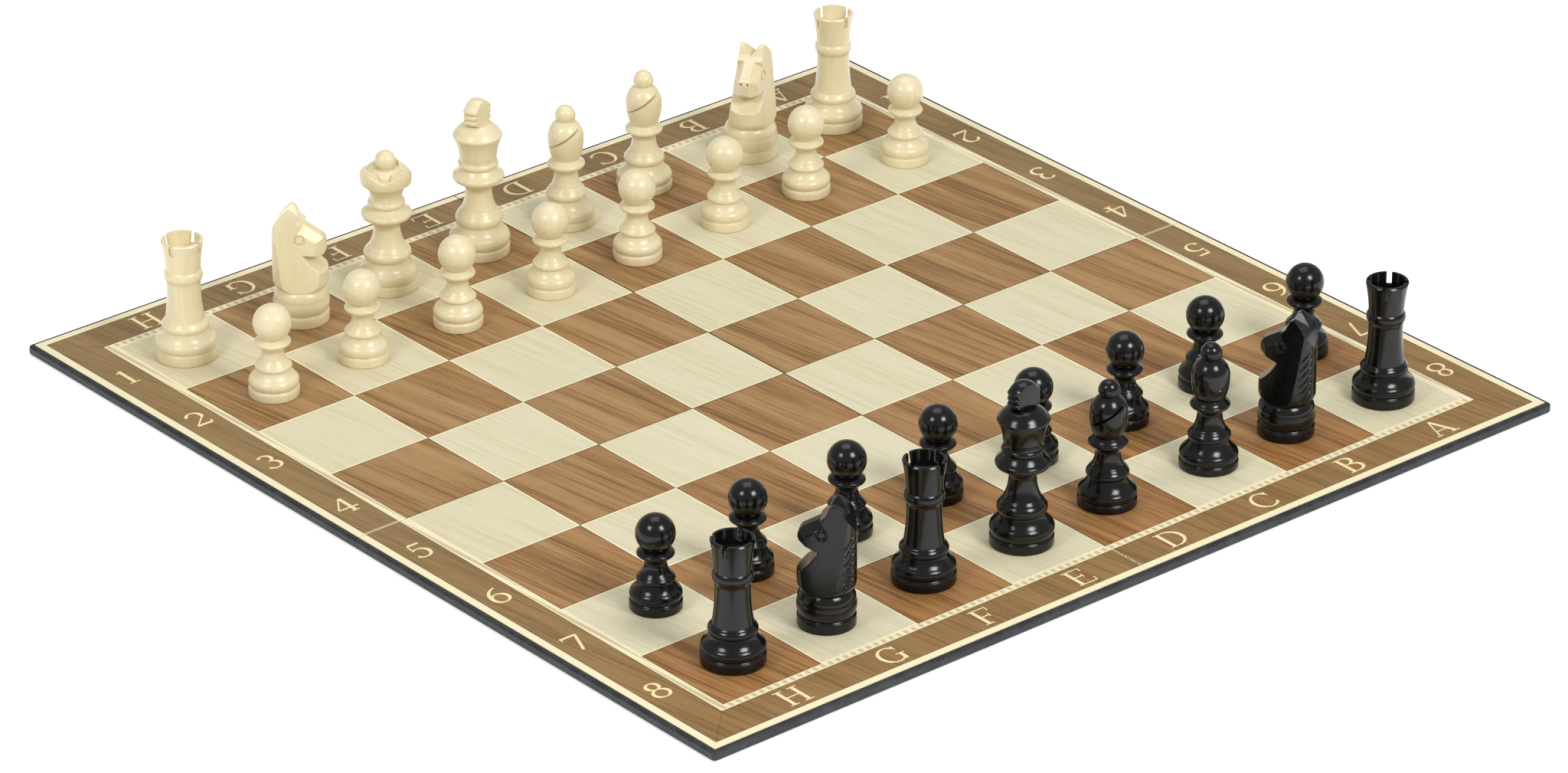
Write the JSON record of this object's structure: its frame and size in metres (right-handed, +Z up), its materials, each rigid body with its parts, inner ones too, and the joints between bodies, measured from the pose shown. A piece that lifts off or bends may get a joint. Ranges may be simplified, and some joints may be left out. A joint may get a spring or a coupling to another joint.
{
  "type": "chess set with board",
  "caption": "Quarter-folding chess board with printed veneer-look squares and turned wooden men set out for a game",
  "frame": {"origin": "middle of the board's underside, where the fold between ranks 4 and 5 crosses the line between files d and e", "axes": "+X towards the a file, +Y towards White's end of the board, +Z up"},
  "size_m": [0.4608, 0.4608, 0.0779],
  "materials": {
    "white_wood": "clear lacquer over pale wood",
    "black_wood": "gloss black lacquer",
    "printed_label": "matt printed paper",
    "black_wrap": "embossed leatherette paper",
    "greyboard": "raw greyboard"
  },
  "bodies": {
    "quarter_a8": {"core_a8": "greyboard", "wrap_a8": "black_wrap", "label_a8": "printed_label"},
    "quarter_a1": {"core_a1": "greyboard", "wrap_a1": "black_wrap", "label_a1": "printed_label"},
    "quarter_h8": {"core_h8": "greyboard", "wrap_h8": "black_wrap", "label_h8": "printed_label"},
    "quarter_h1": {"core_h1": "greyboard", "wrap_h1": "black_wrap", "label_h1": "printed_label"},
    "white_rook_h": {"white_rook_h": "white_wood"},
    "white_knight_g": {"white_knight_g_base": "white_wood", "white_knight_g_head": "white_wood"},
    "white_queen": {"white_queen": "white_wood"},
    "white_king": {"white_king": "white_wood"},
    "white_bishop_d": {"white_bishop_d": "white_wood"},
    "white_bishop_c": {"white_bishop_c": "white_wood"},
    "white_knight_b": {"white_knight_b_base": "white_wood", "white_knight_b_head": "white_wood"},
    "white_rook_a": {"white_rook_a": "white_wood"},
    "black_rook_h": {"black_rook_h": "black_wood"},
    "black_knight_g": {"black_knight_g_base": "black_wood", "black_knight_g_head": "black_wood"},
    "black_rook_f": {"black_rook_f": "black_wood"},
    "black_king": {"black_king": "black_wood"},
    "black_bishop_d": {"black_bishop_d": "black_wood"},
    "black_bishop_c": {"black_bishop_c": "black_wood"},
    "black_knight_b": {"black_knight_b_base": "black_wood", "black_knight_b_head": "black_wood"},
    "black_rook_a": {"black_rook_a": "black_wood"},
    "white_pawn_h": {"white_pawn_h": "white_wood"},
    "white_pawn_g": {"white_pawn_g": "white_wood"},
    "white_pawn_f": {"white_pawn_f": "white_wood"},
    "white_pawn_e": {"white_pawn_e": "white_wood"},
    "white_pawn_d": {"white_pawn_d": "white_wood"},
    "white_pawn_c": {"white_pawn_c": "white_wood"},
    "white_pawn_b": {"white_pawn_b": "white_wood"},
    "white_pawn_a": {"white_pawn_a": "white_wood"},
    "black_pawn_h": {"black_pawn_h": "black_wood"},
    "black_pawn_g": {"black_pawn_g": "black_wood"},
    "black_pawn_f": {"black_pawn_f": "black_wood"},
    "black_pawn_e": {"black_pawn_e": "black_wood"},
    "black_pawn_d": {"black_pawn_d": "black_wood"},
    "black_pawn_c": {"black_pawn_c": "black_wood"},
    "black_pawn_b": {"black_pawn_b": "black_wood"},
    "black_pawn_a": {"black_pawn_a": "black_wood"}
  },
  "joints": [
    {"name": "a1_quarter_fold", "type": "hinge", "parent": "quarter_a8", "child": "quarter_a1", "pos_m": [0.1, 0, 0.0045], "axis": [1, 0, 0], "range_deg": [0, 90]},
    {"name": "h8_quarter_fold_under", "type": "hinge", "parent": "quarter_a8", "child": "quarter_h8", "pos_m": [0, -0.1, -0.00015], "axis": [0, -1, 0], "range_deg": [0, 180]},
    {"name": "h1_quarter_fold", "type": "hinge", "parent": "quarter_h8", "child": "quarter_h1", "pos_m": [-0.1, 0, 0.0045], "axis": [1, 0, 0], "range_deg": [0, 90]},
    {"name": "white_rook_h_lift", "type": "slide", "parent": "quarter_h1", "child": "white_rook_h", "axis": [0, 0, 1], "range_m": [0, 0.075]},
    {"name": "white_knight_g_lift", "type": "slide", "parent": "quarter_h1", "child": "white_knight_g", "axis": [0, 0, 1], "range_m": [0, 0.075]},
    {"name": "white_queen_lift", "type": "slide", "parent": "quarter_h1", "child": "white_queen", "axis": [0, 0, 1], "range_m": [0, 0.075]},
    {"name": "white_king_lift", "type": "slide", "parent": "quarter_h1", "child": "white_king", "axis": [0, 0, 1], "range_m": [0, 0.075]},
    {"name": "white_bishop_d_lift", "type": "slide", "parent": "quarter_a1", "child": "white_bishop_d", "axis": [0, 0, 1], "range_m": [0, 0.075]},
    {"name": "white_bishop_c_lift", "type": "slide", "parent": "quarter_a1", "child": "white_bishop_c", "axis": [0, 0, 1], "range_m": [0, 0.075]},
    {"name": "white_knight_b_lift", "type": "slide", "parent": "quarter_a1", "child": "white_knight_b", "axis": [0, 0, 1], "range_m": [0, 0.075]},
    {"name": "white_rook_a_lift", "type": "slide", "parent": "quarter_a1", "child": "white_rook_a", "axis": [0, 0, 1], "range_m": [0, 0.075]},
    {"name": "black_rook_h_lift", "type": "slide", "parent": "quarter_h8", "child": "black_rook_h", "axis": [0, 0, 1], "range_m": [0, 0.075]},
    {"name": "black_knight_g_lift", "type": "slide", "parent": "quarter_h8", "child": "black_knight_g", "axis": [0, 0, 1], "range_m": [0, 0.075]},
    {"name": "black_rook_f_lift", "type": "slide", "parent": "quarter_h8", "child": "black_rook_f", "axis": [0, 0, 1], "range_m": [0, 0.075]},
    {"name": "black_king_lift", "type": "slide", "parent": "quarter_h8", "child": "black_king", "axis": [0, 0, 1], "range_m": [0, 0.075]},
    {"name": "black_bishop_d_lift", "type": "slide", "parent": "quarter_a8", "child": "black_bishop_d", "axis": [0, 0, 1], "range_m": [0, 0.075]},
    {"name": "black_bishop_c_lift", "type": "slide", "parent": "quarter_a8", "child": "black_bishop_c", "axis": [0, 0, 1], "range_m": [0, 0.075]},
    {"name": "black_knight_b_lift", "type": "slide", "parent": "quarter_a8", "child": "black_knight_b", "axis": [0, 0, 1], "range_m": [0, 0.075]},
    {"name": "black_rook_a_lift", "type": "slide", "parent": "quarter_a8", "child": "black_rook_a", "axis": [0, 0, 1], "range_m": [0, 0.075]},
    {"name": "white_pawn_h_lift", "type": "slide", "parent": "quarter_h1", "child": "white_pawn_h", "axis": [0, 0, 1], "range_m": [0, 0.075]},
    {"name": "white_pawn_g_lift", "type": "slide", "parent": "quarter_h1", "child": "white_pawn_g", "axis": [0, 0, 1], "range_m": [0, 0.075]},
    {"name": "white_pawn_f_lift", "type": "slide", "parent": "quarter_h1", "child": "white_pawn_f", "axis": [0, 0, 1], "range_m": [0, 0.075]},
    {"name": "white_pawn_e_lift", "type": "slide", "parent": "quarter_h1", "child": "white_pawn_e", "axis": [0, 0, 1], "range_m": [0, 0.075]},
    {"name": "white_pawn_d_lift", "type": "slide", "parent": "quarter_a1", "child": "white_pawn_d", "axis": [0, 0, 1], "range_m": [0, 0.075]},
    {"name": "white_pawn_c_lift", "type": "slide", "parent": "quarter_a1", "child": "white_pawn_c", "axis": [0, 0, 1], "range_m": [0, 0.075]},
    {"name": "white_pawn_b_lift", "type": "slide", "parent": "quarter_a1", "child": "white_pawn_b", "axis": [0, 0, 1], "range_m": [0, 0.075]},
    {"name": "white_pawn_a_lift", "type": "slide", "parent": "quarter_a1", "child": "white_pawn_a", "axis": [0, 0, 1], "range_m": [0, 0.075]},
    {"name": "black_pawn_h_lift", "type": "slide", "parent": "quarter_h8", "child": "black_pawn_h", "axis": [0, 0, 1], "range_m": [0, 0.075]},
    {"name": "black_pawn_g_lift", "type": "slide", "parent": "quarter_h8", "child": "black_pawn_g", "axis": [0, 0, 1], "range_m": [0, 0.075]},
    {"name": "black_pawn_f_lift", "type": "slide", "parent": "quarter_h8", "child": "black_pawn_f", "axis": [0, 0, 1], "range_m": [0, 0.075]},
    {"name": "black_pawn_e_lift", "type": "slide", "parent": "quarter_h8", "child": "black_pawn_e", "axis": [0, 0, 1], "range_m": [0, 0.075]},
    {"name": "black_pawn_d_lift", "type": "slide", "parent": "quarter_a8", "child": "black_pawn_d", "axis": [0, 0, 1], "range_m": [0, 0.075]},
    {"name": "black_pawn_c_lift", "type": "slide", "parent": "quarter_a8", "child": "black_pawn_c", "axis": [0, 0, 1], "range_m": [0, 0.075]},
    {"name": "black_pawn_b_lift", "type": "slide", "parent": "quarter_a8", "child": "black_pawn_b", "axis": [0, 0, 1], "range_m": [0, 0.075]},
    {"name": "black_pawn_a_lift", "type": "slide", "parent": "quarter_a8", "child": "black_pawn_a", "axis": [0, 0, 1], "range_m": [0, 0.075]}
  ]
}
